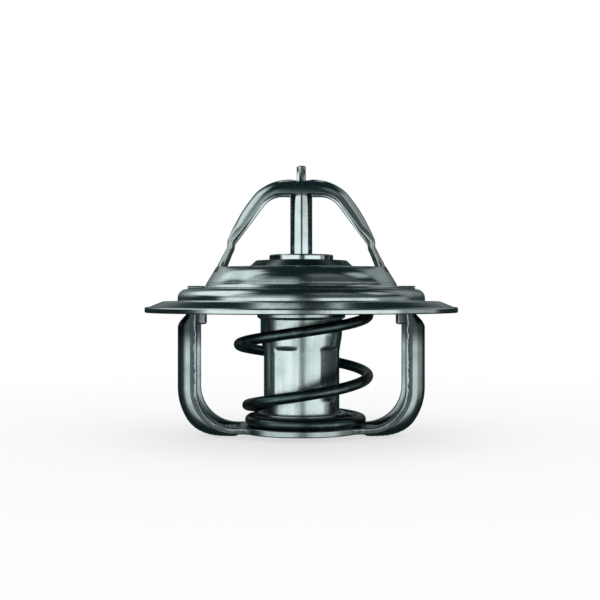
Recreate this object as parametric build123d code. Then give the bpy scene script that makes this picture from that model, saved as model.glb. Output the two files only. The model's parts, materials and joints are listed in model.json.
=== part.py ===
from build123d import *
import math
import os

# Engine thermostat, in millimetres. The origin is the centre of the flange rim's underside.
# +Z runs up to the bridge, and the bridge's two legs stand along X.

# Driving dimensions: flange pressing
flange_radius = 24.0
flange_sheet = 0.85
rim_land = 0.6
rim_slope_corner = 2.0
flange_flat_z = 1.75
shoulder_radius = 19.0
shelf_z = 3.6
shoulder_corner = 1.4
inside_corner = 0.4
dome_radius = 14.62
dome_roll = 2.72
dome_roll_z = 4.24
seat_lip_width = 0.1

# Driving dimensions: bridge
bridge_height = 20.5
bridge_half_width = 3.3
bridge_rib_height = 1.2
bridge_rib_growth = 5.5
bridge_round = 2.2
leg_squareness = 6.0
leg_foot_inset = 1.21
leg_foot_rise = 0.74
leg_bow = 0.15
neck_inset = 4.22
neck_z = 10.2
neck_straight = 1.4
crown_slope_run = 4.54
crown_bend_drop = 1.37
crown_flat_x = 3.0
crown_flat_drop = 0.1
crown_rib_height = 1.6
crown_dimple_depth = 0.4
crown_dimple_margin = 0.5
crown_dimple_slope = 0.6
crown_head_room = 0.3
crown_pad_margin = 0.5

# Driving dimensions: piston
column_radius = 1.7
spigot_radius = 0.72
spigot_stand_out = 2.1
spigot_clearance = 0.03
piston_clearance = 0.05
piston_foot_z = -8.5
piston_foot_chamfer = 0.5
spigot_chamfer = 0.2

# Driving dimensions: lower frame
frame_depth = 19.0
frame_sheet = 1.0
leg_shift = 0.215
leg_half_width = 4.2
strap_half_width = 4.8
leg_rib_height = 1.95
leg_rib_half = 3.2
leg_rib_crest_half = 0.9
leg_rib_top_z = 1.2
leg_rib_full_z = -2.2
bottom_rib_height = 0.7
bottom_rib_runout = 0.7
strap_tail = 1.8
frame_bend = 5.8
ring_radius = 9.5
ring_proud = 0.04
collar_height = 2.0
collar_wall = 0.8
collar_clearance = 0.22
tab_half_width = 2.0
tab_inset = 0.03
slot_clearance = 0.05
tab_head_height = 0.5
tab_head_clearance = 0.28
tab_head_overlap = 0.25
tab_head_half_width = 2.3
root_overlap = 0.5
lug_reach = 1.4
lug_half_width = 1.9
lug_bottom_z = -1.8

# Driving dimensions: return spring
wire_radius = 0.82
spring_foot_inset = 1.0
spring_rim_inset = 2.15
spring_widening = 1.7
spring_offset = 0.65
spring_seat_gap = 0.05

# Driving dimensions: valve
valve_sheet = 0.8
seal_overlap = 0.7
seal_edge = 0.3
seal_grip = 1.0
seal_lap = 0.25
seal_clearance = 0.1
hat_radius = 7.0
hat_slope_radius = 8.1
hat_foot_radius = 8.7
hat_z = 8.0
hat_slope_drop = 1.0
hub_radius = 4.93
hub_height = 0.9
hub_chamfer = 0.15

# Driving dimensions: wax element
nose_radius = 3.2
guide_radius = 4.6
guide_flange_height = 1.0
cup_mouth_z = 1.5
cup_collar_radius = 6.8
cup_collar_z = -0.8
cup_upper_radius = 6.3
cup_upper_z = -3.4
cup_radius = 5.88
cup_taper_z = -6.0
cup_bottom_z = -17.6
cup_wall = 0.6
cup_corner = 1.2
cup_lip = 0.5
flat_count = 5
flat_first_angle = -24.0
flat_depth = 0.3
flat_top_z = -5.5
flat_bottom_z = -13.1
washer_thickness = 0.5
sleeve_radius = 3.0
sleeve_flange_height = 1.1
sleeve_floor = 1.2
wiper_radius = 2.6
wiper_height = 0.9
wiper_recess = 0.2
fit_gap = 0.02

# Sizes that follow from the driving dimensions
rim_inner = flange_radius - rim_land
slope_inner = (rim_inner + shoulder_radius) / 2
rim_slope_run = rim_inner - slope_inner
shoulder_inner = shoulder_radius - flange_sheet
dome_roll_x = dome_radius - dome_roll
seat_hole_radius = dome_roll_x - seat_lip_width
lip_top_z = dome_roll_z + dome_roll
lip_underside_z = lip_top_z - flange_sheet
shelf_underside_z = shelf_z - flange_sheet
crown_underside_z = bridge_height - crown_rib_height - flange_sheet
dimple_z = bridge_height - crown_dimple_depth
piston_shoulder_z = dimple_z - flange_sheet
spigot_top_z = bridge_height + spigot_stand_out
neck_x = dome_radius - neck_inset
crown_bend_x = neck_x - crown_slope_run
crown_bend_z = crown_underside_z - crown_bend_drop
bore_radius = column_radius + piston_clearance
leg_inner_x = (dome_radius + shoulder_inner - frame_sheet) / 2 + leg_shift
leg_outer_x = leg_inner_x + frame_sheet
tab_head_inner_x = dome_radius + tab_head_clearance
strap_top_z = -frame_depth + bottom_rib_height + frame_sheet
ring_top_z = strap_top_z + ring_proud
collar_inner_radius = cup_radius + collar_clearance
collar_outer_radius = collar_inner_radius + collar_wall
seal_radius = seat_hole_radius + seal_overlap
disc_radius = seal_radius - seal_edge
seal_inner_radius = disc_radius - seal_grip
disc_top_z = lip_underside_z - seal_clearance - seal_lap
disc_underside_z = disc_top_z - valve_sheet
hat_underside_z = hat_z - valve_sheet
spring_bottom_radius = ring_radius - spring_foot_inset
spring_top_radius = disc_radius - spring_rim_inset
spring_bottom_z = ring_top_z + wire_radius
spring_top_z = disc_underside_z - wire_radius - spring_seat_gap
guide_flange_z = cup_mouth_z - cup_lip - guide_flange_height
sleeve_top_z = guide_flange_z - washer_thickness
sleeve_bottom_z = piston_foot_z - sleeve_floor
cup_inner_upper = cup_upper_radius - cup_wall


def turned(points):
    """A solid turned round the Z axis from an outline of radius and height points."""
    return revolve(Plane.XZ * make_face(Polyline(*points, close=True)), Axis.Z)


def ring(outer, inner, bottom, top):
    """A plain ring between two radii and two heights."""
    return turned([(inner, bottom), (outer, bottom), (outer, top), (inner, top)])


def block(x_low, x_high, half_width, z_low, z_high):
    """A rectangular block on the X side, centred in Y."""
    size = (x_high - x_low, 2 * half_width, z_high - z_low)
    return Pos((x_low + x_high) / 2, 0, (z_low + z_high) / 2) * Box(*size)


def ramp(value):
    """A half-cosine step from 0 to 1."""
    return (1 - math.cos(math.pi * min(max(value, 0.0), 1.0))) / 2


def sheet_section(plane, half_width, rib_height, rib_half, crest_half, sheet):
    """One cross-section of a ribbed strap: flat margins and a rounded rib that stands outward."""
    steps = 8
    across = [half_width * i / steps for i in range(-steps, steps + 1)]
    flank = rib_half - crest_half
    inner = [(u, rib_height * ramp((rib_half - abs(u)) / flank)) for u in across]
    outer = [(u, v + sheet) for u, v in reversed(inner)]
    edges = [Spline(*inner), Line(inner[-1], outer[0]), Spline(*outer), Line(outer[-1], inner[0])]
    return plane * make_face(edges)


def strap(stations, sheet, rib_half, crest_half):
    """A ribbed strap lofted through stations of place, direction, half width and rib height."""
    sections = []
    for (x, z), (dx, dz), half_width, rib_height in stations:
        plane = Plane(origin=(x, 0, z), x_dir=(0, -1, 0), z_dir=(dx, 0, dz))
        sections.append(sheet_section(plane, half_width, rib_height, rib_half, crest_half, sheet))
    return loft(sections)


def flange_body():
    """The turned part of the flange pressing: rim, flat, shoulder, shelf and rolled seat."""
    flat_underside = flange_flat_z - flange_sheet
    dome_inner = dome_radius - flange_sheet
    flat_run = slope_inner - inside_corner - shoulder_inner
    outer_corner = inside_corner + flange_sheet
    foot_corner = min(outer_corner, 0.8 * flat_run)
    slope_corner = min(rim_slope_corner, rim_slope_run)
    top = FilletPolyline(
        (flange_radius, flange_sheet), (rim_inner, flange_sheet), (slope_inner, flange_flat_z),
        (shoulder_radius, flange_flat_z), (shoulder_radius, shelf_z), (dome_radius, shelf_z),
        (dome_radius, dome_roll_z),
        radius=[inside_corner, slope_corner, inside_corner, shoulder_corner, inside_corner])
    top_roll = CenterArc((dome_roll_x, dome_roll_z), dome_roll, 0, 90)
    inner_roll = CenterArc((dome_roll_x, dome_roll_z), dome_roll - flange_sheet, 0, 90)
    underside = FilletPolyline(
        (dome_inner, dome_roll_z), (dome_inner, shelf_underside_z),
        (shoulder_inner, shelf_underside_z), (shoulder_inner, flat_underside),
        (slope_inner - inside_corner, flat_underside), (rim_inner - inside_corner, 0),
        (flange_radius, 0),
        radius=[outer_corner, shoulder_corner - flange_sheet, foot_corner, inside_corner, inside_corner])
    lip = Polyline((dome_roll_x, lip_top_z), (seat_hole_radius, lip_top_z),
                   (seat_hole_radius, lip_underside_z), (dome_roll_x, lip_underside_z))
    edge = Line((flange_radius, 0), (flange_radius, flange_sheet))
    outline = top.edges() + [top_roll.edge()] + lip.edges() + [inner_roll.edge()]
    outline += underside.edges() + [edge.edge()]
    return revolve(Plane.XZ * make_face(outline), Axis.Z)


def bridge_path():
    """The line of the bridge's underside, from the right foot over the crown to the left foot."""
    rise = math.hypot(neck_x - crown_bend_x, crown_bend_z - neck_z)
    slope = ((crown_bend_x - neck_x) / rise, (crown_bend_z - neck_z) / rise)
    after_neck = (neck_x + neck_straight * slope[0], neck_z + neck_straight * slope[1])
    foot = (dome_radius - leg_foot_inset, dome_roll_z + leg_foot_rise)
    foot_half = ((foot[0] + neck_x) / 2 + leg_bow, (foot[1] + neck_z) / 2)
    half = [foot, foot_half, (neck_x, neck_z), after_neck,
            (crown_bend_x, crown_bend_z), (crown_flat_x, crown_underside_z - crown_flat_drop)]
    other = [(-x, z) for x, z in reversed(half)]
    return Spline(*half, (0, crown_underside_z), *other)


def channel_section(plane, depth, squareness):
    """One cross-section of the bridge: a sheet bent to a channel, with its edges turned inward.

    The outside is a superellipse of the half width and the depth. The inside is the same with
    both less by the sheet, so a channel no deeper than its sheet is a flat strap."""
    steps = 16
    turns = [math.pi * i / steps for i in range(steps + 1)]
    power = 2 / squareness

    def bow(width, height):
        across = [math.copysign(abs(math.cos(turn)) ** power, math.cos(turn)) for turn in turns]
        up = [abs(math.sin(turn)) ** power for turn in turns[:-1]] + [0.0]
        return [(width * u, height * v) for u, v in zip(across, up)]

    outer = bow(bridge_half_width, depth)
    inner = bow(bridge_half_width - flange_sheet, depth - flange_sheet)
    inner.reverse()
    edges = [Spline(*outer), Line(outer[-1], inner[0]), Spline(*inner), Line(inner[-1], outer[0])]
    return plane * make_face(edges)


def bridge_strap():
    """The bridge: a plain sheet at the legs that bends to a channel above each neck."""
    path = bridge_path()
    sections = []
    count = 24
    for i in range(count + 1):
        place = path @ (i / count)
        along = path % (i / count)
        above_neck = place.Y - neck_z
        growth = min(max(above_neck / bridge_rib_growth, 0.0), 1.0)
        rib = bridge_rib_height * (1 - (1 - growth) ** 2)
        rib += (crown_rib_height - bridge_rib_height) * ramp(1.5 - abs(place.X) / crown_flat_x)
        squareness = bridge_round + (leg_squareness - bridge_round) * (1 - ramp(2 * growth))
        plane = Plane(origin=(place.X, 0, place.Y), x_dir=(0, -1, 0), z_dir=(along.X, 0, along.Y))
        sections.append(channel_section(plane, flange_sheet + rib, squareness))
    return loft(sections)


def crown_pad():
    """The flat seat under the crown that the piston's shoulder stands against."""
    radius = column_radius + crown_pad_margin
    return Pos(0, 0, (piston_shoulder_z + dimple_z) / 2) * Cylinder(radius, dimple_z - piston_shoulder_z)


def crown_dimple():
    """The shallow cone pressed into the crown round the spigot."""
    radius = spigot_radius + crown_dimple_margin
    top = bridge_height + crown_dimple_depth
    return turned([(0, dimple_z), (radius, dimple_z), (radius + 2 * crown_dimple_slope, top), (0, top)])


def make_flange_bridge():
    body = flange_body() + bridge_strap()
    room = column_radius + crown_head_room
    body -= Pos(0, 0, piston_shoulder_z - flange_sheet) * Cylinder(room, 2 * flange_sheet)
    body = body + crown_pad() - crown_dimple()
    body -= Pos(0, 0, piston_shoulder_z) * Cylinder(spigot_radius + spigot_clearance, 4 * flange_sheet)
    slot = block(leg_inner_x - slot_clearance, leg_outer_x + slot_clearance,
                 tab_half_width + slot_clearance, shelf_underside_z - root_overlap,
                 shelf_z + root_overlap)
    return body - slot - mirror(slot, about=Plane.YZ)


def frame_leg():
    """One ribbed leg of the lower frame, from the shelf round the bend to the ring."""
    bend_z = strap_top_z + frame_bend
    bend_x = leg_inner_x - frame_bend
    rib_rise = leg_rib_top_z - leg_rib_full_z
    straight = leg_rib_full_z - bend_z
    heights = [shelf_underside_z] + [leg_rib_top_z - rib_rise * share for share in (0, 0.44, 0.7, 1)]
    heights += [leg_rib_full_z - straight * share for share in (0.28, 0.58, 1)]
    stations = []
    for z in heights:
        rib = leg_rib_height * ramp((leg_rib_top_z - z) / rib_rise)
        stations.append(((leg_inner_x, z), (0, 1), leg_half_width, rib))
    turns = 10
    for i in range(1, turns + 1):
        angle = math.radians(90 * i / turns)
        place = (bend_x + frame_bend * math.cos(angle), bend_z - frame_bend * math.sin(angle))
        share = i / turns
        half_width = leg_half_width + (strap_half_width - leg_half_width) * share
        rib = leg_rib_height + (bottom_rib_height - leg_rib_height) * ramp(1.6 * share - 0.6)
        stations.append((place, (math.sin(angle), math.cos(angle)), half_width, rib))
    runout_x = ring_radius - bottom_rib_runout
    for x in ((bend_x + runout_x) / 2, runout_x, ring_radius - strap_tail):
        rib = bottom_rib_height * ramp((x - runout_x) / (bend_x - runout_x))
        stations.append(((x, strap_top_z), (1, 0), strap_half_width, rib))
    stations.reverse()
    return strap(stations, frame_sheet, leg_rib_half, leg_rib_crest_half)


def make_lower_frame():
    leg = frame_leg()
    leg += block(leg_inner_x + tab_inset, leg_outer_x - tab_inset, tab_half_width,
                 shelf_underside_z - root_overlap, shelf_z + tab_head_height / 2)
    leg += block(tab_head_inner_x, leg_outer_x + tab_head_overlap, tab_head_half_width,
                 shelf_z, shelf_z + tab_head_height)
    leg += block(leg_inner_x - lug_reach, leg_inner_x + root_overlap, lug_half_width, lug_bottom_z,
                 shelf_underside_z - root_overlap)
    underside_z = ring_top_z - frame_sheet - 2 * ring_proud
    collar_top_z = ring_top_z + collar_height
    collar = ring(collar_outer_radius, collar_inner_radius, underside_z, collar_top_z)
    plate = ring(ring_radius, collar_inner_radius, underside_z, ring_top_z)
    return leg + mirror(leg, about=Plane.YZ) + plate + collar


def spring_place(angle):
    """The spring wire's centre at a turn angle in degrees: closed ends and an open, widening coil."""
    start, full, ease, stop = 350.0, 570.0, 1150.0, 1350.0
    climb = (full - start) / 2 + (ease - full) + (stop - ease) / 2
    if angle <= start:
        share = 0.0
    elif angle <= full:
        share = (angle - start) ** 2 / (2 * (full - start))
    elif angle <= ease:
        share = (full - start) / 2 + angle - full
    elif angle <= stop:
        share = climb - (stop - angle) ** 2 / (2 * (stop - ease))
    else:
        share = climb
    share /= climb
    z = spring_bottom_z + (spring_top_z - spring_bottom_z) * share
    widening = math.sin(math.pi / 2 * min(1.0, spring_widening * share))
    radius = spring_bottom_radius + (spring_top_radius - spring_bottom_radius) * widening
    turn = math.radians(angle)
    offset = spring_offset * (1 - share ** 2)
    return (radius * math.cos(turn) + offset, radius * math.sin(turn), z)


def make_return_spring():
    first, last, step = 30, 1620, 30
    path = Spline(*[spring_place(angle) for angle in range(first, last + 1, step)])
    section = Plane(origin=path @ 0, z_dir=path % 0) * Circle(wire_radius)
    return sweep(section, path=path)


def make_piston():
    return turned([(0, piston_foot_z), (column_radius - piston_foot_chamfer, piston_foot_z),
                   (column_radius, piston_foot_z + piston_foot_chamfer),
                   (column_radius, piston_shoulder_z),
                   (spigot_radius, piston_shoulder_z), (spigot_radius, spigot_top_z - spigot_chamfer),
                   (spigot_radius - spigot_chamfer, spigot_top_z), (0, spigot_top_z)])


def make_valve_disc():
    bore = nose_radius + fit_gap
    slope_shift = valve_sheet * 0.6
    return turned([(bore, hat_z), (hat_radius, hat_z), (hat_slope_radius, hat_z - hat_slope_drop),
                   (hat_foot_radius, disc_top_z), (disc_radius, disc_top_z),
                   (disc_radius, disc_underside_z), (hat_foot_radius - slope_shift, disc_underside_z),
                   (hat_slope_radius - valve_sheet, hat_underside_z - hat_slope_drop),
                   (hat_radius - slope_shift, hat_underside_z), (bore, hat_underside_z)])


def make_valve_seal():
    """The rubber edge, which wraps the disc's rim with a lap above and below."""
    wrapped = ring(seal_radius, seal_inner_radius, disc_underside_z - seal_lap, disc_top_z + seal_lap)
    rim = ring(disc_radius + fit_gap, seal_inner_radius - fit_gap, disc_underside_z - fit_gap,
               disc_top_z + fit_gap)
    return wrapped - rim


def make_hub_ring():
    bore = nose_radius + fit_gap
    top = hat_z + hub_height
    return turned([(bore, hat_z), (hub_radius, hat_z), (hub_radius, top - hub_chamfer),
                   (hub_radius - hub_chamfer, top), (bore, top)])


def make_guide_body():
    """The guide: a nose through the disc, a body, and a flange in the cup's mouth."""
    nose_top = hat_z + hub_height - wiper_recess
    flange_radius_inside = cup_inner_upper - fit_gap
    guide = turned([(bore_radius, guide_flange_z), (flange_radius_inside, guide_flange_z),
                    (flange_radius_inside, guide_flange_z + guide_flange_height),
                    (guide_radius, guide_flange_z + guide_flange_height),
                    (guide_radius, hat_underside_z), (nose_radius, hat_underside_z),
                    (nose_radius, nose_top), (bore_radius, nose_top)])
    return guide - ring(wiper_radius, 0, nose_top - wiper_height, nose_top)


def make_piston_wiper():
    top = hat_z + hub_height - wiper_recess
    return ring(wiper_radius - fit_gap, bore_radius, top - wiper_height + fit_gap, top)


def cup_outline(shrink, bottom_z, top_z):
    """The cup's stepped outline below the collar, pulled in by a wall."""
    corner = cup_corner - shrink / 2
    upper = cup_upper_radius - shrink
    lower = cup_radius - shrink
    return [(0, bottom_z), (lower - corner, bottom_z), (lower - corner * 0.3, bottom_z + corner * 0.3),
            (lower, bottom_z + corner), (lower, cup_taper_z), (upper, cup_upper_z), (upper, top_z),
            (0, top_z)]


def make_capsule_cup():
    body = turned(cup_outline(0, cup_bottom_z, cup_mouth_z))
    body += ring(cup_collar_radius, guide_radius, cup_collar_z, cup_mouth_z)
    for i in range(flat_count):
        middle = (flat_top_z + flat_bottom_z) / 2
        cut = Box(cup_radius, 2 * cup_wall, flat_top_z - flat_bottom_z)
        cut = Pos(0, -(cup_radius - flat_depth + cup_wall), middle) * cut
        body -= Rot(0, 0, flat_first_angle + i * 360 / flat_count) * cut
    body -= turned(cup_outline(cup_wall, cup_bottom_z + cup_wall, cup_mouth_z - cup_lip))
    return body - Pos(0, 0, cup_mouth_z) * Cylinder(guide_radius + fit_gap, 4 * cup_lip)


def make_backing_washer():
    outer = cup_inner_upper - fit_gap
    return ring(outer, bore_radius, sleeve_top_z + fit_gap, guide_flange_z - fit_gap)


def make_rubber_sleeve():
    outer = cup_inner_upper - fit_gap
    return turned([(0, sleeve_bottom_z), (sleeve_radius, sleeve_bottom_z),
                   (sleeve_radius, sleeve_top_z - sleeve_flange_height),
                   (outer, sleeve_top_z - sleeve_flange_height), (outer, sleeve_top_z),
                   (bore_radius, sleeve_top_z), (bore_radius, piston_foot_z - fit_gap),
                   (0, piston_foot_z - fit_gap)])


def make_wax_charge():
    top = sleeve_top_z - sleeve_flange_height - fit_gap
    wax = turned(cup_outline(cup_wall + fit_gap, cup_bottom_z + cup_wall + fit_gap, top))
    socket = ring(sleeve_radius + fit_gap, 0, sleeve_bottom_z - fit_gap, top + sleeve_flange_height)
    return wax - socket


def main():
    os.makedirs("parts", exist_ok=True)
    nodes = {
        "flange_bridge": make_flange_bridge,
        "lower_frame": make_lower_frame,
        "return_spring": make_return_spring,
        "piston": make_piston,
        "valve_disc": make_valve_disc,
        "valve_seal": make_valve_seal,
        "hub_ring": make_hub_ring,
        "guide_body": make_guide_body,
        "piston_wiper": make_piston_wiper,
        "capsule_cup": make_capsule_cup,
        "backing_washer": make_backing_washer,
        "rubber_sleeve": make_rubber_sleeve,
        "wax_charge": make_wax_charge,
    }
    for name, make in nodes.items():
        export_step(make(), f"parts/{name}.step")


main()
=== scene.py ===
import json
import math

import bmesh
import bpy
import numpy as np
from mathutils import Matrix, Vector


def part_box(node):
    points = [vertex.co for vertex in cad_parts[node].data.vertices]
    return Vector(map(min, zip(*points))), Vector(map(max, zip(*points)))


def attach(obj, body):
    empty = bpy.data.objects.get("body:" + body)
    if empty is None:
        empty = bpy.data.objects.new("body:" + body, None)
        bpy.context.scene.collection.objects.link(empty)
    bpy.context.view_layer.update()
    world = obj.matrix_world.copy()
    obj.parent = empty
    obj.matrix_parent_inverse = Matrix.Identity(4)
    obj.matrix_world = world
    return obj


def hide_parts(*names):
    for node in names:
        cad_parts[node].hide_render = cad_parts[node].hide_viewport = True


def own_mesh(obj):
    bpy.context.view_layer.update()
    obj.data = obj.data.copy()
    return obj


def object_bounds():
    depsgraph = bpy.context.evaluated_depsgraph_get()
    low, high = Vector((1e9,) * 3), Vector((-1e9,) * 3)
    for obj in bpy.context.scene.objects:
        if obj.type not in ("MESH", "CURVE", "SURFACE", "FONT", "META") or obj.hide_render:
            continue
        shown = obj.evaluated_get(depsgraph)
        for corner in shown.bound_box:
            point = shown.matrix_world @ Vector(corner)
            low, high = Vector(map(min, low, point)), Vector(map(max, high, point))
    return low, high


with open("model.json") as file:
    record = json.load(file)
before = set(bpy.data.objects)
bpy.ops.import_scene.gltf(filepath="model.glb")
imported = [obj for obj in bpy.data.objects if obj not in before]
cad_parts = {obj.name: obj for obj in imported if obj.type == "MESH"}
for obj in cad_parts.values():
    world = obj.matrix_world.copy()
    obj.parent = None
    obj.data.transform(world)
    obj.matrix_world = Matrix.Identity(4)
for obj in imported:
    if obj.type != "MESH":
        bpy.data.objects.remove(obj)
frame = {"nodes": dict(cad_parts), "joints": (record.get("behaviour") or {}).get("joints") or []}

cad_low, cad_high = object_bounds()

# Sizes are in millimetres, apart from the merging distance and the studio's, which are in metres.
# The main ones are read from the frame's boxes, the rest are the sheet thicknesses, corner radii and
# steps of the real pieces.
MM = 0.001
MERGE_DISTANCE = 1e-7


def box_mm(node):
    """The lowest and highest corner of a CAD node, in millimetres."""
    low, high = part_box(node)
    return np.array(low) / MM, np.array(high) / MM


bridge_high = box_mm("flange_bridge")[1]
frame_low = box_mm("lower_frame")[0]
piston_low, piston_high = box_mm("piston")
spring_low, spring_high = box_mm("return_spring")
seal_low, seal_high = box_mm("valve_seal")
hub_low, hub_high = box_mm("hub_ring")
cup_low, cup_high = box_mm("capsule_cup")
disc_low, disc_high = box_mm("valve_disc")

# Usual rounding of a sheared, moulded or turned edge
EDGE = 0.2

# Flange pressing. The bends underneath are those on the inner side of the sheet.
FLANGE_RADIUS = bridge_high[1]
SHEET = 0.85
RIM_LAND = 0.6
RIM_SLOPE = 2.2
RIM_EDGE = 0.25
RIM_BEND = 0.35
SLOPE_BEND = 2.0
FLANGE_TOP = 1.75
SHOULDER_RADIUS = 19.0
SHOULDER_FOOT = 0.15
SHOULDER_CORNER = 1.4
SHELF_TOP = 3.6
DOME_RADIUS = 14.62
DOME_FOOT = 0.9
DOME_ROLL = 2.72
ROLL_GAP = 0.01
ROLL_Z = 4.24
SEAT_RADIUS = 11.8
LIP_EDGE = 0.1
SLOPE_BEND_UNDER = 0.4
SLOPE_SHIFT_UNDER = 0.4
SHOULDER_FOOT_UNDER = 1.2
SHOULDER_CORNER_UNDER = 0.5
DOME_FOOT_UNDER = 1.3
FLANGE_STEPS = 240

# A pair named for a fade is where it is 0 and where it is 1: a height, a radius, or an angle in
# degrees off a leg or round the bend.

# The legs' cone on the dome, and the satin beside it
CONE_SLOPE = 0.61
CONE_RADIUS = 14.6
CONE_Z = 4.5
CONE_WALL = SHEET * math.hypot(1, CONE_SLOPE)
CONE_FADE_ANGLE = (52.0, 22.0)
CONE_FADE_Z = (SHELF_TOP + 0.1, SHELF_TOP + 1.1)
SATIN_FADE_ANGLE = (48.0, 20.0)
SATIN_FADE_INNER = (11.5, 13.5)
SATIN_FADE_OUTER = (20.0, 18.5)

# Bridge: its path runs from a foot in the cone, over a slight knee, up to the crown. At the foot
# it flares out and sinks a little into the cone.
BRIDGE_TOP = 20.5
BRIDGE_HALF = 3.3
BRIDGE_FOOT_Z = 6.2
KNEE_LOW = (10.48, 9.75, 1.2)
KNEE_HIGH = (10.40, 10.55, 1.2)
CROWN_X = 4.78
CROWN_BEND = 3.57
BRIDGE_RIB = 1.2
CROWN_RIB = 1.6
RIB_FADE_Z = (10.2, 15.7)
SQUARE_FADE_GROWTH = (0.5, 0.0)
CROWN_FADE_X = (5.1, 1.7)
CHANNEL_WALL = 0.85 * SHEET
BRIDGE_ROUND = 2.2
LEG_SQUARE = 6.0
FLARE_WIDTH = 0.5
FLARE_Z = 6.9
FLARE_SPREAD = 0.45
FOOT_SINK = 0.06
FOOT_FADE_Z = (7.15, 6.85)
BOW_RADIUS = 15.4
BOW_FADE_Z = (9.9, 6.9)
BRIDGE_SATIN_FADE_Z = (13.0, 9.0)
DIMPLE_DEPTH = 0.4
DIMPLE_FADE = (1.9, 1.1)

# Lower frame. A leg starts inside the ring, where it flares and lies a little within the ring's
# sheet. Its rib fades in past the ring and round the bend, and out under the flange. The margin
# keeps the strap's lower face inside the frame's box.
FRAME_SHEET = 1.0
LEG_START = 7.6
LEG_FLARE_WIDTH = 0.8
LEG_FLARE_X = 8.0
LEG_FLARE_SPREAD = 0.8
LEG_INSET = 0.05
INSET_FADE_X = (9.2, 8.6)
RIB_FADE_X = (8.7, 10.3)
RIB_FADE_BEND = (0.0, 56.25)
RIB_FADE_TOP = (1.3, -2.3)
WIDTH_FADE_BEND = (0.0, 90.0)
# Painted shade on the legs in place of the flange's shadow: the heights where it is 0 and where it is 1
SHADE_FADE_Z = (-6.0, -2.5)
LEG_X = 15.8
LEG_HALF = 4.2
STRAP_HALF = 4.8
LEG_RIB = 2.25
LEG_RIB_HALF = 3.2
BOX_MARGIN = 0.03
BOTTOM_RIB = 0.7
FRAME_BEND = 5.8
RING_RADIUS = 9.5
COLLAR_INNER = 6.1
COLLAR_OUTER = 6.9
COLLAR_HEIGHT = 2.0
COLLAR_BEND = 0.5
COLLAR_BEND_UNDER = 1.3
FRAME_FLOOR = frame_low[2] + BOTTOM_RIB + FRAME_SHEET + BOX_MARGIN

# Staked tab heads on the shelf, and the lugs under it
HEAD_INNER = 14.9
HEAD_OUTER = 17.4
HEAD_HALF = 2.3
HEAD_HEIGHT = 0.5
HEAD_SINK = 0.02
LUG_INNER = 14.7
LUG_OUTER = LEG_X + 0.4
LUG_HALF = 1.9
LUG_FOOT = -1.8
LUG_GAP = 0.3
LUG_EDGE = 0.25

# Spring. Its wire climbs between the turn angles from start to stop, in degrees, at a steady rate
# from full to ease.
WIRE = 0.82
SPRING_FOOT_RADIUS = 8.5
SPRING_HEAD_RADIUS = 10.05
SPRING_OFFSET = 0.65
SPRING_WIDENING = 1.7
SPRING_FIRST = 30.0
CLIMB_START = 350.0
CLIMB_FULL = 570.0
CLIMB_EASE = 1150.0
CLIMB_STOP = 1350.0
SPRING_LAST = 1620.0
END_SHARE = 0.8
END_ROWS = 3

# Piston, valve plate, hub ring and seal
SPIGOT_RADIUS = 0.72
VALVE_BORE = 3.22
PLATE_SHEET = 0.8
PLATE_TOP_RADIUS = 7.0
PLATE_TOP_UNDER = 6.5
PLATE_STEP_RADIUS = 8.1
PLATE_STEP_UNDER = 7.3
PLATE_FOOT_RADIUS = 8.7
PLATE_FOOT_UNDER = 8.2
PLATE_SLOPE = 1.0
SEAL_INNER = 11.2
SEAL_EDGE_INNER = 0.25
SEAL_EDGE_OUTER = 0.35

# Capsule. The first of its pressed flats is turned by an angle in degrees.
CUP_WALL = 5.88
CUP_WALL_TOP = -6.0
CUP_FOOT_CORNER = 1.2
CUP_NECK = 6.3
CUP_NECK_FOOT = -3.4
CUP_NECK_BEND = 3.0
CUP_RIM_UNDER = -1.05
CUP_RIM_FOOT = -0.75
CUP_RIM_BEND = 0.15
CUP_RIM_EDGE = 0.45
CUP_MOUTH = 4.62
CUP_RECESS = 0.5
FLATS = 5
FLAT_ANGLE = -24.0
FLAT_DEPTH = 0.3
FLAT_FADE_TOP = (-5.15, -5.75)
FLAT_FADE_BOTTOM = (-13.4, -12.8)

# Camera, fitted to the photograph
CAMERA_DISTANCE = 180.0
CAMERA_HEIGHT = 2.6
PIXELS_PER_MM = 6.477
IMAGE = 600
HORIZON_ROW = 295.6
AXIS_COLUMN = 301.3

# Studio, in metres and degrees: the softboxes, the fill light's level and the floor. The floor is
# plain cloth near the part, and turns white between the two radii of its fade.
SOFTBOX_DISTANCE = 0.6
SOFTBOX_SIDE = 0.5
SOFTBOX_LEVEL = 0.8
FILL = 0.75
FLOOR_REACH = 3.0
FLOOR_GAP = 0.00005
FLOOR_FADE = (0.02, 0.16)
FLOOR_NEAR = 0.66

# The reflection tent: its radius, its cloth's and cards' colours, and the cards. A card is given as
# its azimuth from and to, elevation from and to, light and softness. Azimuth 0 is at the camera and
# positive to the right. A pair stands at both signs of azimuth.
TENT = 1.2
TENT_CLOTH = (0.012, 0.026, 0.028, 1)
TENT_CARD = (1.22, 1.32, 1.32, 1)
CARDS = [
    (-72, -8, -28, 8, 0.6, 5), (-78, -4, -28, 28, 0.26, 6), (-78, -5, -28, 44, 0.14, 6),
    (13, 72, -28, 5, 1.2, 5), (12, 74, -28, 48, 0.07, 7), (-14, 16, -12, 3, 0.13, 4),
    (-135, -74, 22, 62, 0.95, 6), (-80, -52, 24, 50, 0.3, 6), (12, 60, 44, 62, 0.16, 7),
    (78, 108, 30, 54, 0.42, 6), (76, 112, -12, 12, 0.36, 6),
    (-179.4, -171, 38.5, 46, 1.4, 0.9), (171.6, 175.4, 37.5, 44, 1.4, 0.7)]
CARD_PAIRS = [(112, 152, 10, 44, 0.3, 8), (165, 181, 8, 24, 0.2, 5), (172, 181, -6, 7, 0.07, 3)]

# The Mix node's sockets for its two colours and its colour result
COLOR_A = 6
COLOR_B = 7
COLOR_RESULT = 2


def share(value, start, end):
    """How far a value is from start to end, held between 0 and 1."""
    return np.clip((value - start) / (end - start), 0, 1)


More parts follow.
